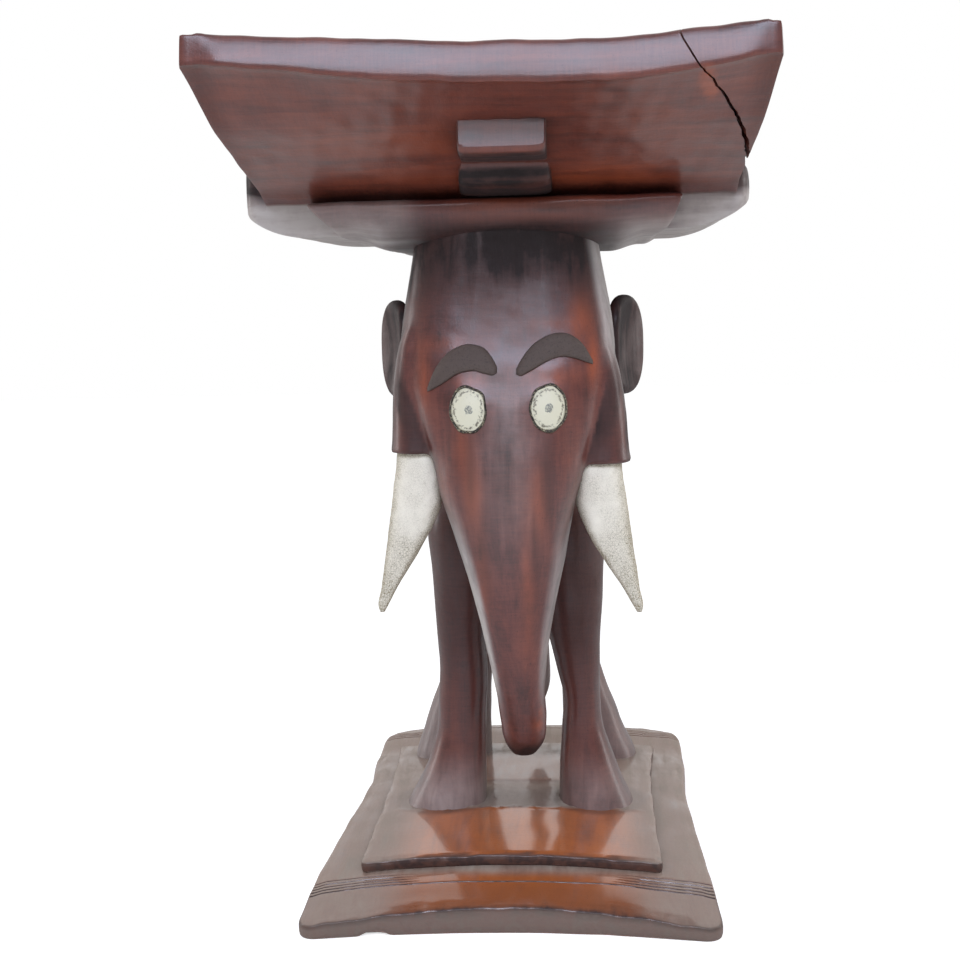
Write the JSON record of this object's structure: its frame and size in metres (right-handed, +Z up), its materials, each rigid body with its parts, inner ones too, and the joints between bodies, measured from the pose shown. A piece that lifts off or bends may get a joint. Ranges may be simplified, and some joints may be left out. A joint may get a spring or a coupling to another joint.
{
  "type": "carved elephant stool",
  "caption": "Carved wooden stool: a dished crescent seat carried on the back of a standing elephant with painted tusks and eyes, on a stepped base.",
  "frame": {"origin": "centre of the base's flat underside", "axes": "+Z up; the elephant looks along -Y, which is the long axis of seat and base; X runs across"},
  "size_m": [0.392, 0.58, 0.6092],
  "materials": {
    "polished_wood": "dark red-brown hardwood, hand carved and wax polished",
    "base_wood": "dusty worn hardwood with rubbed orange patches",
    "blackened_wood": "matt, blackened by scorching",
    "tusk_paint": "chalky white paint on wood, crackled and worn",
    "eye_paint": "cream enamel paint on a wooden inlay",
    "eye_pitch": "ragged black pitch with gold paint",
    "pupil_paint": "rubbed grey paint",
    "dowel_wood": "plain turned hardwood"
  },
  "bodies": {
    "root": {"base_board": "base_wood", "base_plate": "base_wood", "elephant": "polished_wood", "saddle_block": "polished_wood", "seat": "polished_wood", "seat_corner": "polished_wood", "left_tusk": "tusk_paint", "right_tusk": "tusk_paint", "left_ear": "polished_wood", "right_ear": "polished_wood", "tail": "polished_wood", "left_brow": "blackened_wood", "right_brow": "blackened_wood", "left_eye_rim": "eye_pitch", "right_eye_rim": "eye_pitch", "left_eye": "eye_paint", "right_eye": "eye_paint", "left_pupil": "pupil_paint", "right_pupil": "pupil_paint", "foot_dowels": "dowel_wood", "plate_pegs": "dowel_wood", "saddle_dowels": "dowel_wood", "seat_dowels": "dowel_wood", "corner_pins": "dowel_wood"}
  },
  "joints": []
}
